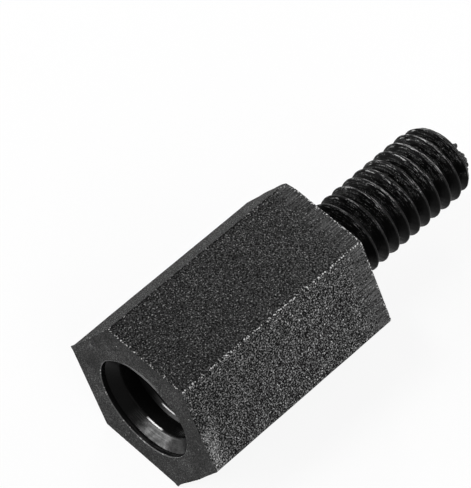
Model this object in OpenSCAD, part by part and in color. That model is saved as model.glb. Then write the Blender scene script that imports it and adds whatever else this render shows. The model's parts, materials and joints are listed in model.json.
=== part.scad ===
// Male-female hex standoff with M3 threads, moulded in nylon as one piece.
// It lies on one of its flats, along X: the threaded hole opens at the -X end
// and the stud points along +X. The origin is on the surface that it lies on,
// under the middle of the whole length.
// The thread forms are left off: the stud is drawn at the diameter over its
// crests, and the hole at the diameter inside its crests.

/* [Hexagonal body] */
// Distance across the flats
across_flats = 5.6; // [5.2:0.1:8]
// Length from the end face to the shoulder
body_length = 8; // [6:0.5:30]
// Rounding along the six long edges
edge_radius = 0.12; // [0.05:0.01:0.4]

/* [Threads] */
// Nominal diameter of both threads
thread_diameter = 3; // [2:0.5:3.5]
// Distance from one crest to the next
thread_pitch = 0.5; // [0.4:0.05:0.7]

/* [Stud] */
// Length from the shoulder to the tip
stud_length = 6; // [3:0.5:12]
// How far the diameter over the crests stays under the nominal one
stud_allowance = 0.15; // [0:0.05:0.3]
// Rounding round the tip
tip_radius = 0.4; // [0.1:0.05:0.8]

/* [Threaded hole] */
// Depth of the straight lip at the mouth
lip_depth = 0.2; // [0.1:0.05:0.5]
// Width of the countersink, measured along the radius
countersink_width = 0.35; // [0.1:0.05:0.6]
// Included angle of the countersink
countersink_angle = 90; // [60:5:120]
// How far the clear stretch ahead of the thread is over the nominal diameter
relief_clearance = 0.1; // [0.05:0.05:0.3]
// Length of that clear stretch
relief_length = 0.55; // [0.1:0.05:1.5]
// Chamfer round the blind end
blind_chamfer = 0.25; // [0.05:0.05:0.5]
// Solid nylon left between the blind end and the shoulder
web_thickness = 2; // [0.8:0.1:4]

/* [Hidden] */
$fn = 96;

// A cut runs this far past the face that it opens.
overrun = 1;

overall_length = body_length + stud_length;
corner_centre = (across_flats / 2 - edge_radius) / cos(30);
stud_radius = (thread_diameter - stud_allowance) / 2;
bore_radius = (thread_diameter - thread_pitch) / 2;
relief_radius = (thread_diameter + relief_clearance) / 2;
mouth_radius = relief_radius + countersink_width;
countersink_end = lip_depth + countersink_width / tan(countersink_angle / 2);
thread_start = countersink_end + relief_length;
hole_depth = body_length - web_thickness;

function polar(r, a) = r * [cos(a), sin(a)];

// Hexagon with two flats square to X and its corners rounded
module rounded_hexagon() {
    corners = [30:60:330];
    polygon([for (a = corners) for (turn = [-30, 30])
        polar(corner_centre, a) + polar(edge_radius, a + turn)]);
    for (a = corners) translate(polar(corner_centre, a)) circle(r = edge_radius);
}

// Round bar with its far rim rounded, standing on the shoulder
module stud() {
    rim_radius = stud_radius - tip_radius;
    straight_length = stud_length - tip_radius;
    cylinder(r = stud_radius, h = straight_length);
    cylinder(r = rim_radius, h = stud_length);
    translate([0, 0, straight_length]) rotate_extrude() intersection() {
        translate([rim_radius, 0]) circle(r = tip_radius);
        square([stud_radius, tip_radius]);
    }
}

// All that the core pin leaves open, from the end face at z = 0 inwards:
// straight lip, countersink, clear stretch, bore and chamfered blind end
module hole() {
    rotate_extrude() polygon([
        [0, -overrun],
        [mouth_radius, -overrun],
        [mouth_radius, lip_depth],
        [relief_radius, countersink_end],
        [relief_radius, thread_start],
        [bore_radius, thread_start],
        [bore_radius, hole_depth - blind_chamfer],
        [bore_radius - blind_chamfer, hole_depth],
        [0, hole_depth]
    ]);
}

// The whole moulding, made upright on its end face and then laid down
module standoff() {
    color([0.11, 0.11, 0.12])
    translate([-overall_length / 2, 0, across_flats / 2]) rotate([0, 90, 0])
    difference() {
        union() {
            linear_extrude(height = body_length) rounded_hexagon();
            translate([0, 0, body_length]) stud();
        }
        hole();
    }
}

standoff();
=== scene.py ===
import json
import math

import bmesh
import bpy
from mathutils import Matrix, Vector


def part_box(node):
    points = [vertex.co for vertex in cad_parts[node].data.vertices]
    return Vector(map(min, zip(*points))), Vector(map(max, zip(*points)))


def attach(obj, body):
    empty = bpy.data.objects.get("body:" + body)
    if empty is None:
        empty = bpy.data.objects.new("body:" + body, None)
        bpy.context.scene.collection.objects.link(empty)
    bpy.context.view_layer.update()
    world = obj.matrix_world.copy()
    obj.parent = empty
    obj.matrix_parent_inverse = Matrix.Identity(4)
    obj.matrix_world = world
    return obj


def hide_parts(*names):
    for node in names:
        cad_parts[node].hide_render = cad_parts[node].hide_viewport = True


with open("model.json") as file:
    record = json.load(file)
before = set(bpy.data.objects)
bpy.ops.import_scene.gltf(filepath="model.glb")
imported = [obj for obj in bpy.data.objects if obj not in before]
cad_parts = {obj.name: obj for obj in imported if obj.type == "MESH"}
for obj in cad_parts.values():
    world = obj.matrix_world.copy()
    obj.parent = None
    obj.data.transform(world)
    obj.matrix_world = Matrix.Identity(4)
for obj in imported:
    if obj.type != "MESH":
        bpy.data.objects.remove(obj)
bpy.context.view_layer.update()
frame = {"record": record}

mm = 0.001
fullTurn = 2 * math.pi
closeTo = 0.001          # tolerance when points are picked by their place
mergeDistance = 0.0001
flatTurn = 60            # degrees from one flat to the next, the first one at half of it
halfFlats = (30, 90, 150)    # the flats of one half; each has its opposite in the other half


def readSizes():
    low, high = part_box("standoff")
    mounts = {m["name"]: m for m in frame["record"]["mounts"]}
    bore = mounts["female_thread"]
    endFace = low.x / mm
    shoulder = mounts["shoulder"]["pos_m"][0] / mm
    acrossFlats = (high.z - low.z) / mm
    return {
        "endFace": endFace,
        "shoulder": shoulder,
        "tip": high.x / mm,
        "bodyLength": shoulder - endFace,
        "acrossFlats": acrossFlats,
        "cornerRadius": acrossFlats / math.sqrt(3),
        "axisHeight": (high.z + low.z) / 2 / mm,
        "boreRadius": bore["dims"]["r_mm"],
        "boreEnd": bore["pos_m"][0] / mm + bore["dims"]["length_mm"] / 2,
    }


size = readSizes()
print("sizes read", {name: round(value, 3) for name, value in size.items()})


def fade(value, low, high):
    # 0 up to low, 1 from high on, and a smooth rise between them
    share = min(1, max(0, (value - low) / (high - low)))
    return share * share * (3 - 2 * share)


def around(angle, radius=1, x=0):
    # the point at an angle and a radius from the axis
    turn = math.radians(angle)
    return Vector((x, radius * math.cos(turn), radius * math.sin(turn)))


def angleOf(place):
    return math.degrees(math.atan2(place.z, place.y)) % 360


def addNode(tree, kind, inputs=None, **settings):
    made = tree.nodes.new("ShaderNode" + kind)
    for name, value in settings.items():
        setattr(made, name, value)
    for name, value in (inputs or {}).items():
        if isinstance(value, bpy.types.NodeSocket):
            tree.links.new(value, made.inputs[name])
        else:
            made.inputs[name].default_value = value
    return made


def calculate(tree, operation, *values, clamp=False):
    inputs = dict(enumerate(values))
    return addNode(tree, "Math", inputs, operation=operation, use_clamp=clamp).outputs[0]


def times(tree, first, second, clamp=False):
    return calculate(tree, "MULTIPLY", first, second, clamp=clamp)


def vectors(tree, operation, *values):
    # the node's outputs: a vector first, and a plain number under "Value"
    return addNode(tree, "VectorMath", dict(enumerate(values)), operation=operation).outputs


def mapped(tree, value, start, end, low=0.0, high=1.0, smooth=False):
    # start to end of a value, spread over low to high and held there outside
    return addNode(tree, "MapRange", {
        "Value": value, "From Min": start, "From Max": end, "To Min": low, "To Max": high,
    }, interpolation_type="SMOOTHSTEP" if smooth else "LINEAR").outputs[0]


def noise(tree, vector, scale=1.0, detail=0.0):
    return addNode(tree, "TexNoise", {
        "Vector": vector, "Scale": scale, "Detail": detail,
    }).outputs["Fac"]


def deselect():
    if bpy.context.object and bpy.context.object.mode != "OBJECT":
        bpy.ops.object.mode_set(mode="OBJECT")
    bpy.ops.object.select_all(action="DESELECT")


def makeActive(piece):
    deselect()
    piece.select_set(True)
    bpy.context.view_layer.objects.active = piece


def pick(piece, kind, test):
    # in edit mode: selects the points, edges or faces that pass the test, and nothing else
    edit = bmesh.from_edit_mesh(piece.data)
    bpy.ops.mesh.select_all(action="DESELECT")
    bpy.ops.mesh.select_mode(type=kind)
    items = {"VERT": edit.verts, "EDGE": edit.edges, "FACE": edit.faces}[kind]
    for item in items:
        if test(item):
            item.select_set(True)
    edit.select_flush_mode()
    bmesh.update_edit_mesh(piece.data)


def drawOutline(name, start, steps):
    # one point, pulled out along the outline step by step; the outline lies in the XZ plane
    deselect()
    bpy.ops.mesh.primitive_plane_add(size=0.1, location=(0, 0, 0))      # merged to one point
    piece = bpy.context.object
    piece.name = name
    bpy.ops.object.mode_set(mode="EDIT")
    bpy.ops.mesh.select_mode(type="VERT")
    bpy.ops.mesh.select_all(action="SELECT")
    bpy.ops.mesh.merge(type="CENTER")
    bpy.ops.transform.translate(value=(start[0], 0, start[1]))
    for along, out in steps:
        bpy.ops.mesh.extrude_vertices_move(TRANSFORM_OT_translate={"value": (along, 0, out)})
    return piece


def outlineThrough(name, points):
    steps = [(b[0] - a[0], b[1] - a[1]) for a, b in zip(points, points[1:])]
    return drawOutline(name, points[0], steps)


def applyAll(piece):
    makeActive(piece)
    for modifier in list(piece.modifiers):
        bpy.ops.object.modifier_apply(modifier=modifier.name)


def sweepRound(piece, steps, pitch=0.0, turns=1):
    # leaves the piece in edit mode, for what comes next
    makeActive(piece)
    sweep = piece.modifiers.new("sweep", "SCREW")
    sweep.axis = "X"
    sweep.angle = fullTurn
    sweep.screw_offset = pitch
    sweep.iterations = turns
    sweep.steps = steps
    sweep.render_steps = steps
    applyAll(piece)
    bpy.ops.object.mode_set(mode="EDIT")
    bpy.ops.mesh.select_all(action="SELECT")
    bpy.ops.mesh.remove_doubles(threshold=mergeDistance)


def closeNormals(piece):
    bpy.ops.mesh.select_all(action="SELECT")
    bpy.ops.mesh.normals_make_consistent(inside=False)
    bpy.ops.object.mode_set(mode="OBJECT")


def moveOff(piece, shift):
    makeActive(piece)
    piece.location = (0, *shift)
    bpy.ops.object.transform_apply()


def cutBy(piece, tool, operation):
    makeActive(piece)
    change = piece.modifiers.new(operation.lower(), "BOOLEAN")
    change.operation = operation
    change.solver = "EXACT"
    change.object = tool
    applyAll(piece)
    bpy.data.objects.remove(tool)


def report(piece, stage):
    edit = bmesh.new()
    edit.from_mesh(piece.data)
    openEdges = sum(1 for e in edit.edges if not e.is_manifold)
    print(piece.name, stage + ":", len(edit.verts), "points,", len(edit.faces), "faces,",
          openEdges, "open edges,", round(edit.calc_volume(), 2), "cubic mm")
    edit.free()


camera = {
    "azimuth": -48.865,
    "elevation": 55.473,
    "roll": 3.695,
    "distance": 98.88,
    "lookAt": (-0.449, 2.338, 2.8),
    "lens": 224.85,
    "sensor": 36,
    "clip": (0.001, 5),      # metres
}


def makeCamera():
    azimuth = math.radians(camera["azimuth"])
    elevation = math.radians(camera["elevation"])
    back = Vector((
        math.sin(azimuth) * math.cos(elevation),
        -math.cos(azimuth) * math.cos(elevation),
        math.sin(elevation),
    ))
    place = (Vector(camera["lookAt"]) + back * camera["distance"]) * mm
    bpy.ops.object.camera_add(location=place)
    shot = bpy.context.object
    shot.name = "productCamera"
    shot.rotation_mode = "QUATERNION"
    shot.rotation_quaternion = (-back).to_track_quat("-Z", "Y")
    shot.rotation_mode = "XYZ"
    shot.rotation_euler.rotate_axis("Z", math.radians(camera["roll"]))
    shot.data.sensor_fit = "AUTO"
    shot.data.sensor_width = camera["sensor"]
    shot.data.lens = camera["lens"]
    shot.data.clip_start, shot.data.clip_end = camera["clip"]
    bpy.context.scene.camera = shot


floor = {
    "width": 3.0,            # metres
    "colour": (0.9, 0.9, 0.9, 1),
    "roughness": 0.9,
    "specular": 0.1,
    "lift": 0.88,            # share of plain white that is seen, against the lit floor
}


def seenDirectly(tree):
    # 1 for camera, glossy and transmission rays, 0 for the light that falls on the object
    path = addNode(tree, "LightPath")
    both = calculate(tree, "MAXIMUM", path.outputs["Is Camera Ray"], path.outputs["Is Glossy Ray"])
    return calculate(tree, "MAXIMUM", both, path.outputs["Is Transmission Ray"])


def makeFloor():
    deselect()
    bpy.ops.mesh.primitive_plane_add(size=floor["width"], location=(0, 0, 0))
    plane = bpy.context.object
    plane.name = "floor"
    paint = bpy.data.materials.new("floorPaint")
    paint.use_nodes = True
    tree = paint.node_tree
    shader = tree.nodes["Principled BSDF"]
    shader.inputs["Base Color"].default_value = floor["colour"]
    shader.inputs["Roughness"].default_value = floor["roughness"]
    shader.inputs["Specular IOR Level"].default_value = floor["specular"]
    white = addNode(tree, "Emission", {"Color": (1, 1, 1, 1)})
    share = times(tree, seenDirectly(tree), floor["lift"])
    shown = addNode(tree, "MixShader", {
        "Fac": share, 1: shader.outputs["BSDF"], 2: white.outputs["Emission"],
    })
    tree.links.new(shown.outputs["Shader"], tree.nodes["Material Output"].inputs["Surface"])
    plane.data.materials.append(paint)


studio = {
    "horizon": 1.0,
    "overhead": 0.2,
    "whiteUpTo": 0.12,       # height on a sphere of radius 1 where the sky starts to darken
    "darkFrom": 0.5,
    "lamps": {
        # name: direction, distance, width, height, turn, watts
        "back": ((-0.73, 0.52, 0.29), 0.30, 0.28, 0.12, 30, 0.64),
        "key": ((-0.30, 0.35, 0.88), 0.30, 0.12, 0.03, 45, 0.28),
        "top": ((0.43, 0.63, 0.64), 0.30, 0.06, 0.06, 0, 0.10),
        "front": ((-0.20, -0.80, 0.55), 0.35, 0.25, 0.25, 0, 0.45),
        "fill": ((0.80, -0.42, 0.42), 0.30, 0.25, 0.25, 0, 0.28),
    },
}


def makeWorld():
    world = bpy.data.worlds.new("studio")
    world.use_nodes = True
    tree = world.node_tree
    direction = addNode(tree, "TexCoord")
    height = addNode(tree, "SeparateXYZ", {0: direction.outputs["Generated"]})
    sky = mapped(
        tree, height.outputs["Z"], studio["whiteUpTo"], studio["darkFrom"],
        studio["horizon"], studio["overhead"], smooth=True,
    )
    background = tree.nodes["Background"]
    background.inputs["Color"].default_value = (1, 1, 1, 1)
    tree.links.new(sky, background.inputs["Strength"])
    bpy.context.scene.world = world


def makeLights():
    for name, (direction, distance, width, height, turn, watts) in studio["lamps"].items():
        place = Vector(direction).normalized() * distance
        bpy.ops.object.light_add(type="AREA", location=place)
        lamp = bpy.context.object
        lamp.name = name
        lamp.data.shape = "RECTANGLE"
        lamp.data.size = width
        lamp.data.size_y = height
        lamp.data.energy = watts
        lamp.rotation_euler = (-place).to_track_quat("-Z", "Y").to_euler()
        lamp.rotation_euler.rotate_axis("Z", math.radians(turn))
        lamp.visible_camera = False


thread = {
    "pitch": 0.5,
    "flankAngle": 30,        # half of the angle between two flanks
    "steps": 120,            # points in one turn
    "crestSegments": 3,
    "rootSegments": 2,
    "turnsBefore": 1.5,      # spare turns, cut off again at each end
    "turnsAfter": 2,
}
studThread = {
    "crestWidth": 0.058,
    "depth": 0.337,
    "crestRounding": 0.028,
    "rootRounding": 0.02,
    "phase": 0.117,
}
holeThread = {
    "crestWidth": 0.07,
    "depth": 0.31,
    "crestRounding": 0.03,
    "rootRounding": 0.04,
    "phase": 0.0,
    "cut": 0.25,             # how far the thread goes into the wall of the bore
    "early": 0.02,           # starts this far inside the clear stretch
    "plainEnd": 0.6,         # bore left without thread at the blind end
}


def makeThreadBar(name, settings, crestRadius, firstX, lastX):
    # one turn's outline swept along a helix, cut square and closed at firstX and lastX
    pitch = thread["pitch"]
    crest = settings["crestWidth"]
    depth = settings["depth"]
    run = depth * math.tan(math.radians(thread["flankAngle"]))
    root = pitch - crest - 2 * run
    rootRadius = crestRadius - depth
    begin = firstX - thread["turnsBefore"] * pitch + settings["phase"]
    piece = drawOutline(
        name, (begin, rootRadius),
        [(root / 2, 0), (run, depth), (crest, 0), (run, -depth), (root / 2, 0)],
    )
    pick(piece, "VERT", lambda v: v.co.z > crestRadius - closeTo)
    bpy.ops.mesh.bevel(
        offset=settings["crestRounding"], segments=thread["crestSegments"], affect="VERTICES",
    )
    first = begin + mergeDistance
    last = begin + pitch - mergeDistance
    pick(piece, "VERT", lambda v: v.co.z < rootRadius + closeTo and first < v.co.x < last)
    bpy.ops.mesh.bevel(
        offset=settings["rootRounding"], segments=thread["rootSegments"], affect="VERTICES",
    )
    bpy.ops.object.mode_set(mode="OBJECT")
    turns = math.ceil((lastX - begin) / pitch) + thread["turnsAfter"]
    sweepRound(piece, thread["steps"], pitch, turns)
    for x, inner in ((firstX, True), (lastX, False)):
        bpy.ops.mesh.select_all(action="SELECT")
        bpy.ops.mesh.bisect(
            plane_co=(x, 0, 0), plane_no=(1, 0, 0), use_fill=True,
            clear_inner=inner, clear_outer=not inner,
        )
    closeNormals(piece)
    report(piece, "threaded")
    return piece


studEnd = {
    "crestRadius": 1.413,
    "sunk": 0.4,             # thread hidden inside the body
    "cutterSunk": 0.6,
    "spare": 0.3,            # thread past the tip, and the cutter's wall past the crests
    "rimLength": 0.436,
    "rimDrop": 0.413,
    "rimStep": 0.02,
    "rimMiddle": (0.3, 0.4),     # shares of the rim's length and drop at its middle point
    "rimRound": 0.08,
    "rimSegments": 3,
    "rimShift": (-0.06, 0.01),   # the tip's rim off the stud's own axis, along Y and Z
    "shift": (0.0, 0.036),       # the whole stud off the part's axis, along Y and Z
}
gateMark = {
    # torn plastic on the tip's rim: angle, along, radius, size along x, around, out
    "lumps": [
        (114, -0.04, 1.07, 0.12, 0.10, 0.15),
        (127, -0.12, 1.19, 0.08, 0.09, 0.09),
        (135, -0.08, 1.14, 0.12, 0.11, 0.12),
        (143, -0.08, 1.16, 0.13, 0.12, 0.12),
        (151, -0.10, 1.18, 0.10, 0.10, 0.11),
        (158, -0.14, 1.20, 0.07, 0.08, 0.08),
    ],
    "fineness": 3,
    "raggedness": 0.09,
    "uniform": 0.4,          # how alike the random moves are, and how much they go outwards
    "outwards": 0.8,
    "firstSeed": 3,
    "pale": (0.14, 0.24),    # from a scrap's middle: pale up to here, and dark from here on
    "reach": 0.3,            # nothing is pale further than this from the tip
}


def makeScrap(number, lump):
    # one scrap of torn plastic, roughened and set on the rim
    angle, along, radius, long, across, out = lump
    deselect()
    bpy.ops.mesh.primitive_ico_sphere_add(
        subdivisions=gateMark["fineness"], radius=1, location=(0, 0, 0),
    )
    scrap = bpy.context.object
    scrap.name = "scrap"
    bpy.ops.object.mode_set(mode="EDIT")
    bpy.ops.transform.vertex_random(
        offset=gateMark["raggedness"], uniform=gateMark["uniform"],
        normal=gateMark["outwards"], seed=number + gateMark["firstSeed"],
    )
    bpy.ops.transform.resize(value=(long, out, across))
    bpy.ops.object.mode_set(mode="OBJECT")
    scrap.rotation_euler.x = math.radians(angle)
    scrap.location = around(angle, radius, size["tip"] + along)
    bpy.ops.object.transform_apply()
    return scrap


def makeStud():
    e = studEnd
    shoulder, tip, crest = size["shoulder"], size["tip"], e["crestRadius"]
    stud = makeThreadBar("stud", studThread, crest, shoulder - e["sunk"], tip + e["spare"])
    end = outlineThrough("studEnd", [
        (shoulder - e["cutterSunk"], 0),
        (shoulder - e["cutterSunk"], crest + e["spare"]),
        (tip - 2 * e["rimLength"], crest + e["spare"]),
        (tip - e["rimLength"], crest - e["rimStep"]),
        (tip - e["rimLength"] * e["rimMiddle"][0], crest - e["rimDrop"] * e["rimMiddle"][1]),
        (tip, crest - e["rimDrop"]),
        (tip, 0),
    ])
    rimStart = tip - e["rimLength"] - closeTo
    pick(end, "VERT", lambda v: v.co.x > rimStart and v.co.z > closeTo)
    bpy.ops.mesh.bevel(offset=e["rimRound"], segments=e["rimSegments"], affect="VERTICES")
    sweepRound(end, thread["steps"])
    closeNormals(end)
    moveOff(end, e["rimShift"])
    cutBy(stud, end, "INTERSECT")
    for number, lump in enumerate(gateMark["lumps"]):
        cutBy(stud, makeScrap(number, lump), "UNION")
    moveOff(stud, e["shift"])
    report(stud, "with its torn tip")
    return stud


body = {
    "edgeRadius": 0.12,
    "edgeSegments": 4,
    "endChamfer": 0.018,
    "chamferSegments": 2,
    "sideShare": 0.985,      # a point this far out, as a share of the way to a flat, is on it
    "fullLength": 0.9,       # an edge along a flat spans more than this share of the body
    "rings": 139,            # cuts along a flat, for the grain
    "columns": 53,           # cuts across a flat
    "gridded": 0.8,          # share of a flat's width that an edge spans if it is cut into columns
    "rimReach": 0.002,       # points nearer to an end than this are on its rim
    "studReach": 0.05,       # the stud is roughened from this far past the shoulder
    "smoothAngle": 35,
    "flatWeight": 80,
    "lumpDetail": 1,
    "relief": {
        # name: points, direction, depth, size of the lumps, level that stays in place
        "wave": ("sides", "NORMAL", 0.012, 0.9, 1),
        "grain": ("sides", "NORMAL", 0.005, 0.05, 1),
        "handled": ("stud", "NORMAL", 0.018, 0.13, 0.5),
        "rimAcross": ("rims", "Y", 0.028, 0.12, 0.5),
        "rimUp": ("rims", "Z", 0.028, 0.12, 0.5),
    },
    "pulls": [
        # end, angle, share of the corner radius, move along x, move outwards, reach
        ("endFace", 0, 1.0, 0.0, 0.045, 0.13),
        ("endFace", 240, 1.0, -0.01, 0.05, 0.14),
        ("endFace", 210, 0.866, 0.0, 0.035, 1.3),
        ("shoulder", 60, 1.0, -0.04, -0.02, 0.45),
        ("shoulder", 30, 0.87, -0.02, 0.02, 0.7),
    ],
}


def runAlong(edge):
    # how far an edge goes along the part
    return abs(edge.verts[0].co.x - edge.verts[1].co.x)


def makeBar():
    # plain hexagonal bar, its corners rounded and its ends eased
    deselect()
    bpy.ops.mesh.primitive_cylinder_add(
        vertices=6, radius=size["cornerRadius"], depth=size["bodyLength"],
        location=((size["endFace"] + size["shoulder"]) / 2, 0, 0), rotation=(0, fullTurn / 4, 0),
    )
    bar = bpy.context.object
    bar.name = "threadedStandoff"
    bpy.ops.object.transform_apply()
    bpy.ops.object.mode_set(mode="EDIT")
    pick(bar, "EDGE", lambda e: runAlong(e) > body["fullLength"] * size["bodyLength"])
    bpy.ops.mesh.bevel(
        offset=body["edgeRadius"] * math.tan(math.radians(flatTurn / 2)), segments=body["edgeSegments"],
        affect="EDGES",
    )
    pick(bar, "EDGE", lambda e: runAlong(e) < closeTo)
    bpy.ops.mesh.bevel(offset=body["endChamfer"], segments=body["chamferSegments"], affect="EDGES")
    bpy.ops.object.mode_set(mode="OBJECT")
    report(bar, "as a plain bar")
    return bar


mouth = {
    "steps": 144,            # points around the hole
    "lipRadius": 1.905,
    "lipDepth": 0.2,
    "flare": [(-0.005, 0.035), (0.008, 0.012), (0.03, 0.0)],     # depth, and radius past the lip's
    "coneAngle": 45,
    "innerRound": 0.2,       # rounding between the cone and the clear stretch
    "innerStep": 9,          # degrees of it from point to point
    "clearRadius": 1.55,
    "clearStart": 0.55,
    "clearEnd": 1.1,
    "threadStart": 1.25,
    "blindChamfer": 0.25,
    "spare": (0.5, 0.2),     # the core pin outside the part: its length, and its radius past the lip's
    "rollIn": 0.33,          # how far the edge is rolled in at its deepest
    "rollStart": 25,         # angles between which it is rolled in
    "rollDeepest": 115,
    "rollEnd": 148,
    "rollRise": 0.8,         # power of the rise from the start to the deepest place
    "rollRound": 0.14,       # rounding of the rolled edge, over the depth below
    "rollRoundDepth": 0.02,
    "rollWaist": 0.1,        # deeper than this, only a share is rolled in
    "rollBelow": 0.6,
    "rollSink": 0.04,        # how far its inner edge is pushed into the hole
}


def rollShare(angle):
    # how far the mouth's edge is rolled in at an angle, from 0 to 1
    start, deepest, end = mouth["rollStart"], mouth["rollDeepest"], mouth["rollEnd"]
    if angle < start or angle > end:
        return 0
    if angle < deepest:
        return ((angle - start) / (deepest - start)) ** mouth["rollRise"]
    return 1 - fade(angle, deepest, end)


def innerRim(start, radius, rounding):
    # rounded edge between the cone and the clear stretch, from the cone inwards
    angle = mouth["coneAngle"]
    middle = start + rounding * math.tan(math.radians(angle / 2))
    points = []
    for degrees in range(angle, -1, -mouth["innerStep"]):
        turn = math.radians(degrees)
        points.append((middle - rounding * math.sin(turn), radius + rounding * (1 - math.cos(turn))))
    return points


def rollMouth(pin):
    # the pin's first stretch is squeezed where the mouth's edge is rolled in
    m = mouth
    outermost = m["flare"][0][0]
    roundDepth = m["rollRoundDepth"]
    edit = bmesh.from_edit_mesh(pin.data)
    for v in edit.verts:
        radius = math.hypot(v.co.y, v.co.z)
        depth = v.co.x - size["endFace"]
        if depth > m["lipDepth"] + closeTo or radius < closeTo:
            continue
        share = rollShare(angleOf(v.co))
        inward = m["rollIn"] * share
        if depth < roundDepth:
            inward -= (m["rollRound"] * share * (roundDepth - max(depth, outermost))
                       / (roundDepth - outermost))
        if depth > m["rollWaist"]:
            inward *= m["rollBelow"]
        if 0 < depth < m["rollWaist"]:
            v.co.x += m["rollSink"] * share
        scale = (radius - inward) / radius
        v.co.y *= scale
        v.co.z *= scale
    bmesh.update_edit_mesh(pin.data)


def makeCorePin():
    # the pin that leaves the hole: lip, cone, clear stretch, bore and blind end
    m = mouth
    face, lip, bore = size["endFace"], m["lipRadius"], size["boreRadius"]
    outside, wider = m["spare"]
    chamfer = m["blindChamfer"]
    pin = outlineThrough("corePin", [
        (face - outside, 0),
        (face - outside, lip + wider),
        *((face + depth, lip + past) for depth, past in m["flare"]),
        (face + m["lipDepth"], lip),
        *innerRim(face + m["clearStart"], m["clearRadius"], m["innerRound"]),
        (face + m["clearEnd"], m["clearRadius"]),
        (face + m["threadStart"], bore),
        (size["boreEnd"], bore),
        (size["boreEnd"] + chamfer, bore - chamfer),
        (size["boreEnd"] + chamfer, 0),
    ])
    bpy.ops.object.mode_set(mode="OBJECT")
    sweepRound(pin, m["steps"])
    rollMouth(pin)
    closeNormals(pin)
    report(pin, "with its rolled mouth")
    return pin


def makeTap():
    return makeThreadBar(
        "tap", holeThread, size["boreRadius"] + holeThread["cut"],
        size["endFace"] + mouth["clearEnd"] - holeThread["early"],
        size["boreEnd"] - holeThread["plainEnd"],
    )


def sideOf(v):
    # how far out a point lies, as a share of the way to the flats
    return max(
        abs(v.y * math.cos(math.radians(a)) + v.z * math.sin(math.radians(a)))
        for a in halfFlats
    ) / (size["acrossFlats"] / 2)


def onSide(v):
    return v.x < size["shoulder"] + closeTo and sideOf(v) > body["sideShare"]


def gridSides(piece):
    # an even grid on the six flats, so that the grain can be real
    makeActive(piece)
    bpy.ops.object.mode_set(mode="EDIT")
    pick(piece, "EDGE", lambda e: runAlong(e) > body["fullLength"] * size["bodyLength"])
    bpy.ops.mesh.subdivide(number_cuts=body["rings"])
    wide = body["gridded"] * size["cornerRadius"]

    def across(e):
        a, b = e.verts[0].co, e.verts[1].co
        return runAlong(e) < closeTo and (a - b).length > wide and onSide(a) and onSide(b)

    pick(piece, "EDGE", across)
    bpy.ops.mesh.subdivide(number_cuts=body["columns"])
    bpy.ops.object.mode_set(mode="OBJECT")
    report(piece, "with gridded flats")


def roughenSides(piece):
    # the flats are pushed in along their normals, the two rims only within their planes, and
    # the stud's surface a little in and out
    places = {"sides": [], "rims": [], "stud": []}
    for v in piece.data.vertices:
        if v.co.x > size["shoulder"] + body["studReach"]:
            places["stud"].append(v.index)
        if onSide(v.co):
            toEnd = min(v.co.x - size["endFace"], size["shoulder"] - v.co.x)
            places["sides" if toEnd > body["rimReach"] else "rims"].append(v.index)
    for name, points in places.items():
        piece.vertex_groups.new(name=name).add(points, 1, "REPLACE")
    for name, (place, direction, depth, lumpSize, level) in body["relief"].items():
        lumps = bpy.data.textures.new(name, "CLOUDS")
        lumps.noise_scale = lumpSize
        lumps.noise_depth = body["lumpDetail"]
        push = piece.modifiers.new(name, "DISPLACE")
        push.texture = lumps
        push.texture_coords = "LOCAL"
        push.vertex_group = place
        push.direction = direction
        push.mid_level = level
        push.strength = depth
    applyAll(piece)
    print("flats, rims and stud roughened:", ", ".join(body["relief"]))


def pullCorners(piece):
    # small nibs, worn corners and a bowed edge, each pulled with a soft reach
    makeActive(piece)
    bpy.ops.object.mode_set(mode="EDIT")
    for end, angle, share, along, outwards, reach in body["pulls"]:
        edit = bmesh.from_edit_mesh(piece.data)
        out = around(angle)
        place = out * size["cornerRadius"] * share
        place.x = size[end]
        nearest = min(edit.verts, key=lambda v: (v.co - place).length).index
        pick(piece, "VERT", lambda v: v.index == nearest)
        move = out * outwards
        move.x = along
        bpy.ops.transform.translate(
            value=move, use_proportional_edit=True,
            proportional_edit_falloff="SMOOTH", proportional_size=reach,
        )
    bpy.ops.object.mode_set(mode="OBJECT")
    print("corners pulled:", len(body["pulls"]))


flats = {
    # angle: grain contrast, tone at the end face, tone at the shoulder, drag marks; the tones paint light
    # and shade flat by flat, with the top and near flats lighter than the rest, and each tone rises
    # towards the shoulder
    30: (0.9, 0.0143, 0.0164, 0.4),
    90: (0.48, 0.0185, 0.0266, 0.8),
    150: (0.92, 0.0233, 0.0325, 1.0),
    210: (0.5, 0.015, 0.017, 0.2),
    270: (0.5, 0.015, 0.017, 0.2),
    330: (0.5, 0.015, 0.017, 0.2),
}
dragMarks = {
    "reach": (0.1, 1.1),     # from the shoulder: full up to here, and gone from here on
    "smoother": 0.6,         # contrast and tone of the grain under them
    "lighter": 0.1,
}
scuff = {
    # one lighter place beside the end face
    "flat": 150,
    "reach": (0.25, 0.75),   # from the end face: full up to here, and gone from here on
    "angles": (148, 156),    # none up to here, and full from here on, towards the next corner
    "smoother": 0.35,
    "gain": 4.0,
}
edgeGlints = {
    # how many bright points of painted highlight an edge carries, from 0 to 1
    "corners": {
        # angle of a corner between two flats: at the end face, halfway, at the shoulder
        0: (0.4, 0.3, 0.3), 60: (0.1, 0.1, 0.2), 120: (0.8, 0.95, 1.0),
        180: (0.5, 0.3, 0.3), 240: (0.5, 0.3, 0.3), 300: (0.5, 0.3, 0.3),
    },
    "rims": {
        # flat: along its rim at the end face, and at the shoulder
        30: (0.3, 0.3), 90: (0.6, 0.9), 150: (0.1, 0.9),
        210: (0.4, 0.4), 270: (0.4, 0.4), 330: (0.4, 0.4),
    },
    "nearPart": (0.8, 2.2),  # from the end face, where a corner turns from its first value
    "farPart": (1.0, 3.0),   # from the shoulder, where it has turned to its last
    "width": (0.02, 0.065),
}
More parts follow.
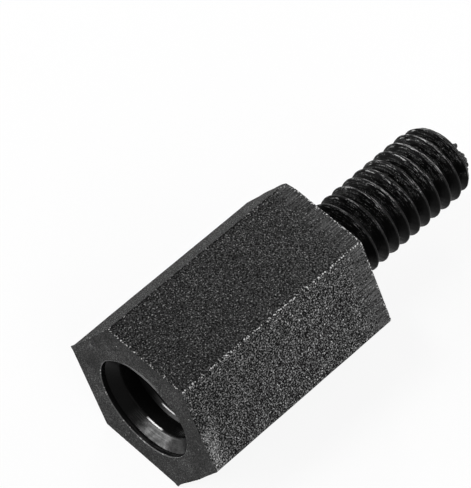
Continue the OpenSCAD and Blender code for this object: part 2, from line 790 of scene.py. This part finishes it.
# thin lines of painted shade: along the corner between the top and the far flat, and along the near
# flat's rim at the end face
shadedEdges = {
    "corner": 60,            # the edge between the top and the far flat
    "cornerWidth": 0.05,
    "rim": (132, 180),       # angles of the near flat's rim at the end face
    "rimWidth": 0.04,
    "tone": 0.35,
}


def nearestCorner(angle):
    return int(round(angle / flatTurn) * flatTurn)


def flatAt(angle):
    return int(angle // flatTurn) * flatTurn + flatTurn // 2


def edgeGlintShare(v, angle, toEdge):
    near, middle, far = edgeGlints["corners"][nearestCorner(angle) % 360]
    nearRim, farRim = edgeGlints["rims"][flatAt(angle)]
    width = edgeGlints["width"]
    fromEnd = v.x - size["endFace"]
    toShoulder = size["shoulder"] - v.x
    along = near + (middle - near) * fade(fromEnd, *edgeGlints["nearPart"])
    along += (far - middle) * (1 - fade(toShoulder, *edgeGlints["farPart"]))
    return max(
        along * (1 - fade(toEdge, *width)),
        nearRim * (1 - fade(fromEnd, *width)),
        farRim * (1 - fade(toShoulder, *width)),
    )


def onShadedEdge(v, angle, toEdge):
    if nearestCorner(angle) == shadedEdges["corner"] and toEdge < shadedEdges["cornerWidth"]:
        return True
    first, last = shadedEdges["rim"]
    return first < angle < last and v.x < size["endFace"] + shadedEdges["rimWidth"]


def scuffShare(v, angle, flat):
    if flat != scuff["flat"]:
        return 0
    return (1 - fade(v.x - size["endFace"], *scuff["reach"])) * fade(angle, *scuff["angles"])


def tornShare(v):
    # torn plastic is lighter than the moulded skin
    if size["tip"] - v.x > gateMark["reach"]:
        return 0
    share = 0
    for angle, along, radius, *_ in gateMark["lumps"]:
        place = around(angle, radius, size["tip"] + along)
        share = max(share, 1 - fade((v - place).length, *gateMark["pale"]))
    return share


def markPlaces(piece):
    # where the grain is coarse, how light each flat is painted for its light and shade, where edges carry
    # painted glints, where thin lines of painted shade run, and where drag marks and torn plastic are
    halfFlat = size["acrossFlats"] / 2 * math.tan(math.radians(flatTurn / 2))
    marks = {"contrast": [], "tone": [], "edge": [], "drag": [], "torn": []}
    for v in piece.data.vertices:
        angle = angleOf(v.co)
        flat = flatAt(angle)
        contrast, near, far, dragged = flats[flat]
        along = (v.co.x - size["endFace"]) / size["bodyLength"]
        fromAxis = math.hypot(v.co.y, v.co.z)
        toEdge = halfFlat - abs(fromAxis * math.sin(math.radians(angle - flat)))
        side = onSide(v.co)
        drag = dragged * (1 - fade(size["shoulder"] - v.co.x, *dragMarks["reach"])) if side else 0
        patch = scuffShare(v.co, angle, flat)
        # the flat's painted light and shade, rising from the end face to the shoulder
        tone = near + (far - near) * along
        tone *= 1 + (scuff["gain"] - 1) * patch
        tone *= 1 + dragMarks["lighter"] * drag
        if onShadedEdge(v.co, angle, toEdge):
            tone *= shadedEdges["tone"]
        contrast *= 1 - dragMarks["smoother"] * drag
        contrast *= 1 - scuff["smoother"] * patch
        marks["contrast"].append(contrast)
        marks["tone"].append(tone)
        marks["edge"].append(edgeGlintShare(v.co, angle, toEdge) if side else 0)
        marks["drag"].append(drag)
        marks["torn"].append(tornShare(v.co))
    for name, values in marks.items():
        piece.data.attributes.new(name, "FLOAT", "POINT").data.foreach_set("value", values)
    print("places marked for wear:", ", ".join(marks))


finishes = ["grained", "satin", "gloss", "threaded"]     # in the order of the material slots
painting = {
    "facing": 0.9,           # an end face's normal goes further along x than this
    "tipDepth": 0.02,
    "holeFrom": 0.002,       # the hole: from this depth, to this far past the bore and the lip's radius
    "pastBore": 0.5,
    "pastLip": 0.02,
    "holeShare": 0.9,        # and nearer to the axis than this share of the way to a flat
    "faceShare": 0.99,       # an end face is nearer than this share, or has more than this area
    "faceArea": 0.02,
    "lip": (0.0005, 0.028),  # depths of the line around the mouth
    "lipWidth": 0.1,
}


def finishOf(face):
    # which of the four finishes a face gets, from where it lies and where it looks
    p = painting
    c = face.center
    fromEnd = c.x - size["endFace"]
    if c.x > size["tip"] - p["tipDepth"] and face.normal.x > p["facing"]:
        return "satin"
    if c.x > size["shoulder"] + closeTo:
        return "threaded"
    inHole = p["holeFrom"] < fromEnd < size["boreEnd"] + p["pastBore"] - size["endFace"]
    nearAxis = math.hypot(c.y, c.z) < mouth["lipRadius"] + p["pastLip"]
    if inHole and nearAxis and sideOf(c) < p["holeShare"]:
        return "gloss"
    if abs(face.normal.x) > p["facing"] and (face.area > p["faceArea"] or sideOf(c) < p["faceShare"]):
        return "satin"
    return "grained"


def paintFaces(piece):
    lip = []
    first, last = painting["lip"]
    for face in piece.data.polygons:
        finish = finishOf(face)
        face.material_index = finishes.index(finish)
        c = face.center
        nearLip = math.hypot(c.y, c.z) < mouth["lipRadius"] + painting["lipWidth"]
        inLip = nearLip and first < c.x - size["endFace"] < last
        lip.append(1.0 if inLip and finish != "grained" else 0.0)
    piece.data.attributes.new("lip", "FLOAT", "FACE").data.foreach_set("value", lip)
    print("faces painted:", len(lip))


def makeStandoff(nylon):
    stud = makeStud()
    piece = makeBar()
    for paint in nylon:
        piece.data.materials.append(paint)
    cutBy(piece, stud, "UNION")
    report(piece, "with its stud")
    cutBy(piece, makeCorePin(), "DIFFERENCE")
    report(piece, "with its hole")
    cutBy(piece, makeTap(), "DIFFERENCE")
    report(piece, "with its hole tapped")
    gridSides(piece)
    roughenSides(piece)
    pullCorners(piece)
    markPlaces(piece)
    paintFaces(piece)
    makeActive(piece)
    piece.location.z = size["axisHeight"]
    piece.scale = (mm, mm, mm)
    piece.location *= mm
    bpy.ops.object.transform_apply()
    bpy.ops.object.shade_smooth_by_angle(angle=math.radians(body["smoothAngle"]))
    weigh = piece.modifiers.new("evenNormals", "WEIGHTED_NORMAL")
    weigh.keep_sharp = True
    weigh.weight = body["flatWeight"]
    applyAll(piece)
    print("standoff finished, in metres")
    return piece


def startGroup(name, inputs, outputs):
    # an input without a value is a vector, the others are plain numbers
    group = bpy.data.node_groups.new(name, "ShaderNodeTree")
    for label, value in inputs.items():
        kind = "NodeSocketVector" if value is None else "NodeSocketFloat"
        socket = group.interface.new_socket(label, in_out="INPUT", socket_type=kind)
        if value is not None:
            socket.default_value = value
    for label in outputs:
        group.interface.new_socket(label, in_out="OUTPUT", socket_type="NodeSocketFloat")
    return group, group.nodes.new("NodeGroupInput").outputs, group.nodes.new("NodeGroupOutput").inputs


def endGroup(group, result, values):
    for label, value in values.items():
        group.links.new(value, result[label])
    return group


def addGroup(tree, group, place, inputs):
    return addNode(tree, "Group", {"Vector": place, **inputs}, node_tree=group).outputs


grainGroup = {
    "turn": (0.6, 0.4, 0.9),     # turned, because noise shows its own lattice on a flat face
    "middle": 0.5,               # of the noise, and how strongly the tone swings around it
    "swing": 8.0,
    "deepen": (1.4, -0.4),       # tone times this, plus this
    "darkest": 0.08,
}


def makeGrainGroup():
    # pits of a spark-eroded mould: a tone that varies around 1, and their height
    group, given, result = startGroup(
        "sparkGrain", {"Vector": None, "Size": 0.05, "Contrast": 1.0, "Detail": 1.0},
        ["Tone", "Height"],
    )
    turned = addNode(group, "VectorRotate", {
        "Vector": given["Vector"], "Rotation": grainGroup["turn"],
    }, rotation_type="EULER_XYZ")
    scale = calculate(group, "DIVIDE", 1.0, given["Size"])
    pits = noise(group, turned.outputs[0], scale, given["Detail"])
    offMiddle = calculate(group, "SUBTRACT", pits, grainGroup["middle"])
    swing = times(group, offMiddle, grainGroup["swing"])
    power = times(group, swing, given["Contrast"])
    rise = calculate(group, "EXPONENT", power)
    deepened = calculate(group, "MULTIPLY_ADD", rise, *grainGroup["deepen"])
    tone = calculate(group, "MAXIMUM", deepened, grainGroup["darkest"])
    return endGroup(group, result, {"Tone": tone, "Height": pits})


glintGroup = {
    "shift": (11.3, 4.7, 8.1),   # away from the noise of the grain
    "threshold": (0.82, 0.45),   # at an amount of 0, and of 1
    "softness": 0.08,
}


def makeGlintGroup():
    # small bright points, more of them where Amount is higher
    group, given, result = startGroup(
        "glints", {"Vector": None, "Size": 0.05, "Amount": 0.1}, ["Mask"],
    )
    shifted = vectors(group, "ADD", given["Vector"], glintGroup["shift"])
    scale = calculate(group, "DIVIDE", 1.0, given["Size"])
    sparkle = noise(group, shifted[0], scale)
    start = mapped(group, given["Amount"], 0.0, 1.0, *glintGroup["threshold"])
    end = calculate(group, "ADD", start, glintGroup["softness"])
    return endGroup(group, result, {"Mask": mapped(group, sparkle, start, end)})


dragGroup = {
    "stretch": (1.2, 20.0, 20.0),    # noise for each mm along the part, and across it
    "detail": 1.0,
    "threshold": (0.44, 0.64),
}


def makeDragGroup():
    # fine parallel marks along the part, broken up
    group, given, result = startGroup("dragMarks", {"Vector": None, "Amount": 0.0}, ["Mask"])
    drawnOut = vectors(group, "MULTIPLY", given["Vector"], dragGroup["stretch"])
    lines = noise(group, drawnOut[0], detail=dragGroup["detail"])
    strong = mapped(group, lines, *dragGroup["threshold"])
    return endGroup(group, result, {"Mask": times(group, strong, given["Amount"])})


wearAndSheenGroup = {
    # noise for each radian around, mm along and mm outwards
    "streaks": (2.8, 24.0, 18.0),
    "nicks": (5.0, 34.0, 26.0),
    "streakDetail": 2.0,
    "nickDetail": 1.0,
    "streakThreshold": (0.495, 0.63),
    "nickThreshold": (0.59, 0.65),
}


def makeWearAndSheenGroup():
    # streaks that follow a thread, on one side of it, and short bright nicks among them; the materials
    # use them for rubbing and for painted highlight
    group, given, result = startGroup("threadWear", {
        "Vector": None, "Axis Height": size["axisHeight"], "Direction": None,
        "Pitch": 0.0, "Reach": 0.6, "Full": 0.97,
    }, ["Zone", "Streaks", "Nicks", "Radius", "Height"])
    place = addNode(group, "SeparateXYZ", {0: given["Vector"]})
    up = calculate(group, "SUBTRACT", place.outputs["Z"], given["Axis Height"])
    spoke = addNode(group, "CombineXYZ", {"Y": place.outputs["Y"], "Z": up}).outputs[0]
    radius = vectors(group, "LENGTH", spoke)["Value"]
    unit = vectors(group, "NORMALIZE", spoke)[0]
    facing = vectors(group, "DOT_PRODUCT", unit, given["Direction"])["Value"]
    aside = vectors(group, "CROSS_PRODUCT", given["Direction"], unit)[0]
    sideways = addNode(group, "SeparateXYZ", {0: aside})
    angle = calculate(group, "ARCTAN2", sideways.outputs["X"], facing)
    rise = calculate(group, "DIVIDE", given["Pitch"], fullTurn)
    climb = times(group, angle, rise)
    along = calculate(group, "SUBTRACT", place.outputs["X"], climb)
    rolled = addNode(group, "CombineXYZ", {"X": angle, "Y": along, "Z": radius}).outputs[0]
    drawnOut = vectors(group, "MULTIPLY", rolled, wearAndSheenGroup["streaks"])[0]
    lines = noise(group, drawnOut, detail=wearAndSheenGroup["streakDetail"])
    scattered = vectors(group, "MULTIPLY", rolled, wearAndSheenGroup["nicks"])[0]
    dots = noise(group, scattered, detail=wearAndSheenGroup["nickDetail"])
    zone = mapped(group, facing, given["Reach"], given["Full"], smooth=True)
    strong = mapped(group, lines, *wearAndSheenGroup["streakThreshold"])
    streaks = times(group, strong, zone)
    bright = mapped(group, dots, *wearAndSheenGroup["nickThreshold"])
    nicks = times(group, bright, streaks)
    return endGroup(group, result, {
        "Zone": zone, "Streaks": streaks, "Nicks": nicks, "Radius": radius, "Height": lines,
    })


skinSpecular = 0.03      # moulded nylon is dull; what shines on it is the coat and the painted highlights


def startNylon(name):
    paint = bpy.data.materials.new(name)
    paint.use_nodes = True
    tree = paint.node_tree
    place = addNode(tree, "TexCoord")
    inMm = addNode(tree, "VectorMath", {
        0: place.outputs["Object"], "Scale": 1 / mm,
    }, operation="SCALE")
    return paint, tree, tree.nodes["Principled BSDF"], inMm.outputs["Vector"]


def blend(tree, factor, below, above):
    # lays a grey over a colour; the grey is a number, or comes from a node
    if not isinstance(above, bpy.types.NodeSocket):
        above = (above, above, above, 1)
    return addNode(tree, "Mix", {
        "Factor": factor, "A": below, "B": above,
    }, data_type="RGBA").outputs["Result"]


def grey(tree, value):
    return addNode(tree, "CombineColor", {"Red": value, "Green": value, "Blue": value}).outputs["Color"]


def marked(tree, name):
    return addNode(tree, "Attribute", attribute_name=name).outputs["Fac"]


def between(tree, value, low, high, soft):
    # 1 where the value lies between low and high
    start = mapped(tree, value, low - soft, low)
    end = mapped(tree, value, high, high + soft, 1.0, 0.0)
    return times(tree, start, end)


def finishShader(tree, shader, colour, height, look):
    tree.links.new(colour, shader.inputs["Base Color"])
    bump = addNode(tree, "Bump", {
        "Height": height, "Strength": 1.0, "Distance": look["relief"] * mm,
    })
    tree.links.new(bump.outputs["Normal"], shader.inputs["Normal"])
    shader.inputs["Roughness"].default_value = look["roughness"]
    shader.inputs["Specular IOR Level"].default_value = skinSpecular
    if "coatRoughness" in look:
        shader.inputs["Coat Roughness"].default_value = look["coatRoughness"]


grainedLook = {
    "grainSize": 0.046,
    "dragGrey": 0.1,
    "glintSize": 0.05,
    "glintAmount": (0.35, 0.76),     # for an edge marked 0, and one marked 1
    "glintGrey": (0.23, 0.7),
    "relief": 0.01,
    "roughness": 0.75,
}


def makeGrained(groups):
    # the six flats, with drag marks, and painted glints on them and along their edges
    look = grainedLook
    paint, tree, shader, place = startNylon("grainedNylon")
    grain = addGroup(tree, groups["grain"], place, {
        "Size": look["grainSize"], "Contrast": marked(tree, "contrast"), "Detail": 0.0,
    })
    tone = times(tree, grain["Tone"], marked(tree, "tone"))
    drag = addGroup(tree, groups["drag"], place, {"Amount": marked(tree, "drag")})
    dragged = blend(tree, drag["Mask"], grey(tree, tone), look["dragGrey"])
    # painted glints: sparse on the flats, dense along the edges that catch the light
    amount = mapped(tree, marked(tree, "edge"), 0.0, 1.0, *look["glintAmount"])
    strength = mapped(tree, marked(tree, "edge"), 0.0, 1.0, *look["glintGrey"])
    glint = addGroup(tree, groups["glint"], place, {"Size": look["glintSize"], "Amount": amount})
    dotted = blend(tree, glint["Mask"], dragged, grey(tree, strength))
    finishShader(tree, shader, dotted, grain["Height"], look)
    return paint


satinLook = {
    "tone": 0.0151,
    "grain": {"Size": 0.05, "Contrast": 0.7},
    "cloud": {"Size": 0.7, "Contrast": 0.2},
    "speck": {"Size": 0.09, "Amount": 0.0},
    "speckGrey": 0.4,
    # arcs of painted highlight beside the mouth, on its upper side
    "arcRadii": [(1.8, 1.815), (1.875, 1.885)],
    "arcSoftness": 0.015,
    "arcDepth": (0.2, 0.1),      # from the end face: none at this depth, and full from here out
    "arcSide": {"Direction": (0, 0.087, 0.996), "Reach": 0.88, "Full": 0.96},
    "arcGrey": 0.18,
    "relief": 0.005,
    "roughness": 0.45,
}


def makeSatin(groups):
    # the end face, the shoulder and the flat of the tip
    look = satinLook
    paint, tree, shader, place = startNylon("satinNylon")
    grain = addGroup(tree, groups["grain"], place, look["grain"])
    cloud = addGroup(tree, groups["grain"], place, look["cloud"])
    tone = times(tree, times(tree, grain["Tone"], cloud["Tone"]), look["tone"])
    speck = addGroup(tree, groups["glint"], place, look["speck"])
    speckled = blend(tree, speck["Mask"], grey(tree, tone), look["speckGrey"])
    wear = addGroup(tree, groups["wear"], place, look["arcSide"])
    spot = addNode(tree, "SeparateXYZ", {0: place})
    depths = [size["endFace"] + depth for depth in look["arcDepth"]]
    atMouth = mapped(tree, spot.outputs["X"], *depths)
    rings = [
        between(tree, wear["Radius"], low, high, look["arcSoftness"])
        for low, high in look["arcRadii"]
    ]
    besideMouth = times(tree, atMouth, calculate(tree, "MAXIMUM", *rings))
    # painted highlight: light arcs on the end face beside the mouth's upper side
    rubbedAndHighlit = blend(tree, times(tree, wear["Zone"], besideMouth), speckled, look["arcGrey"])
    finishShader(tree, shader, rubbedAndHighlit, grain["Height"], look)
    return paint


glossLook = {
    "grey": 0.003,
    "wornSide": {"Direction": (0, -0.34, -0.94), "Reach": 0.6},
    # bands of the hole, as radii: from, to, softness
    "cone": (1.6, 1.9, 0.04),
    "flank": (1.40, 1.52, 0.02),
    "rim": (1.559, 1.576, 0.004),
    "threadStart": (1.375, 1.41, 0.01),
    "coneGrey": 0.02,
    "flankGrey": 0.03,
    "arcSide": {"Direction": (0, 0, -1), "Reach": 0.97, "Full": 0.99},
    "arcGrey": 0.8,
    "lipGrey": 0.07,
    "burr": {"Size": 0.08, "Amount": 0.45},
    "burrGrey": 0.3,
    "polish": (0.8, 0.3),        # at the low and the high places of the wear
    "polishHeights": (0.3, 0.7),
    "evenWithin": (1.6, 1.66),   # radii: polished evenly up to here, and by the wear from here on
    "mottle": {"Size": 0.16, "Contrast": 0.22},
    "relief": 0.003,
    "roughness": 0.25,
    "coatRoughness": 0.26,
}


def makeGloss(groups):
    # the hole: dull black, its coat polished on the side where a screw has borne on it; there the cone
    # and the thread's flanks carry lighter streaks that are partly rubbing and partly painted sheen, the
    # rim and the thread's start carry arcs of painted highlight, and a painted highlight line with
    # painted glints runs around the lip
    look = glossLook
    paint, tree, shader, place = startNylon("glossNylon")
    wear = addGroup(tree, groups["wear"], place, look["wornSide"])
    highlightZone = addGroup(tree, groups["wear"], place, look["arcSide"])
    radius = wear["Radius"]
    # lighter streaks on the cone and the thread's flanks: rubbing, and painted sheen where the cone
    # catches the light
    onCone = times(tree, wear["Streaks"], between(tree, radius, *look["cone"]))
    rubbedAndHighlit = blend(tree, onCone, grey(tree, look["grey"]), look["coneGrey"])
    onFlank = times(tree, wear["Streaks"], between(tree, radius, *look["flank"]))
    flanked = blend(tree, onFlank, rubbedAndHighlit, look["flankGrey"])
    # painted highlight arcs on the rim and at the thread's start, on the lower side of the hole
    rim = between(tree, radius, *look["rim"])
    start = between(tree, radius, *look["threadStart"])
    arcs = times(tree, calculate(tree, "MAXIMUM", rim, start), highlightZone["Zone"])
    ringed = blend(tree, arcs, flanked, look["arcGrey"])
    # a painted highlight line around the lip, with painted glints along it
    lined = blend(tree, marked(tree, "lip"), ringed, look["lipGrey"])
    burr = addGroup(tree, groups["glint"], place, look["burr"])
    edged = blend(tree, times(tree, burr["Mask"], marked(tree, "lip")), lined, look["burrGrey"])
    dulled = mapped(tree, wear["Height"], *look["polishHeights"], *look["polish"])
    mottle = addGroup(tree, groups["grain"], place, look["mottle"])
    even = mapped(tree, radius, *look["evenWithin"], 1.0, 0.0)
    shine = calculate(tree, "MAXIMUM", times(tree, dulled, mottle["Tone"]), even)
    tree.links.new(times(tree, wear["Zone"], shine, clamp=True), shader.inputs["Coat Weight"])
    finishShader(tree, shader, edged, wear["Height"], look)
    return paint


threadedLook = {
    "grey": 0.0022,
    "wornSide": {"Direction": (0, 0.17, 0.98), "Reach": 0.4},
    "usedFrom": (0.8, 3.4),      # from the shoulder: little wear and little painted highlight up to here, full from here on
    "used": (0.15, 1.1),
    "speckle": {"Size": 0.042, "Contrast": 0.75, "Detail": 0.0},
    # from this radius to this: the crests' painted highlight line, their polish and painted highlight,
    # and where nicks are
    "crest": (1.385, 1.41),
    "polished": (1.38, 1.405),
    "nicked": (1.24, 1.32),
    "crestGrey": 0.017,
    "streakGrey": 0.035,
    "polishGrey": 0.2,
    "nickGrey": 0.6,
    "dust": {"Size": 0.04, "Amount": 0.38},
    "dustGrey": 0.2,
    "torn": {"Size": 0.06, "Contrast": 1.4},
    "tornShare": 0.5,
    "tornGrey": 0.1,
    "coat": 0.8,
    "relief": 0.012,
    "roughness": 0.3,
    "coatRoughness": 0.16,
}


def makeThreaded(groups):
    # the stud: dark, with a painted highlight line on every crest; on its upper side, streaks along the
    # turns that are partly rubbing and partly painted highlight, with painted highlights and glints on
    # the crests among nicks; torn at the tip
    look = threadedLook
    paint, tree, shader, place = startNylon("threadedNylon")
    wear = addGroup(tree, groups["wear"], place, {
        "Axis Height": size["axisHeight"] + studEnd["shift"][1], "Pitch": thread["pitch"],
        **look["wornSide"],
    })
    radius = wear["Radius"]
    spot = addNode(tree, "SeparateXYZ", {0: place})
    worn = [size["shoulder"] + distance for distance in look["usedFrom"]]
    used = mapped(tree, spot.outputs["X"], *worn, *look["used"])
    speckle = addGroup(tree, groups["grain"], place, look["speckle"])
    streaks = times(tree, times(tree, wear["Streaks"], used), speckle["Tone"], clamp=True)
    # a thin painted highlight line along every crest
    lined = blend(tree, mapped(tree, radius, *look["crest"]), grey(tree, look["grey"]), look["crestGrey"])
    # lighter streaks along the turns on the upper side: rubbing, and painted highlight where the turns
    # catch the light
    rubbedAndHighlit = blend(tree, streaks, lined, look["streakGrey"])
    # painted highlight on the crests among the streaks; the same mask makes the coat glossy there
    polished = times(tree, streaks, mapped(tree, radius, *look["polished"]))
    brightened = blend(tree, polished, rubbedAndHighlit, look["polishGrey"])
    # short bright nicks on the crests: real nicks, and painted glints
    nicks = times(tree, wear["Nicks"], used)
    onCrest = times(tree, nicks, mapped(tree, radius, *look["nicked"]))
    nicked = blend(tree, onCrest, brightened, look["nickGrey"])
    # painted glints scattered over the streaks
    dust = addGroup(tree, groups["glint"], place, look["dust"])
    glinted = blend(tree, times(tree, dust["Mask"], streaks), nicked, look["dustGrey"])
    fibres = addGroup(tree, groups["grain"], place, look["torn"])
    torn = times(tree, fibres["Tone"], marked(tree, "torn"))
    frayed = blend(tree, times(tree, torn, look["tornShare"], clamp=True), glinted, look["tornGrey"])
    tree.links.new(times(tree, polished, look["coat"]), shader.inputs["Coat Weight"])
    finishShader(tree, shader, frayed, wear["Height"], look)
    return paint


makeCamera()
makeFloor()
makeWorld()
makeLights()
bpy.context.scene.view_settings.view_transform = "Standard"
print("studio ready:", ", ".join(studio["lamps"]))
groups = {
    "grain": makeGrainGroup(),
    "glint": makeGlintGroup(),
    "drag": makeDragGroup(),
    "wear": makeWearAndSheenGroup(),
}
nylon = [makeGrained(groups), makeSatin(groups), makeGloss(groups), makeThreaded(groups)]
print("finishes ready:", ", ".join(finishes))
standoff = makeStandoff(nylon)
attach(standoff, "root")
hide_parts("standoff")
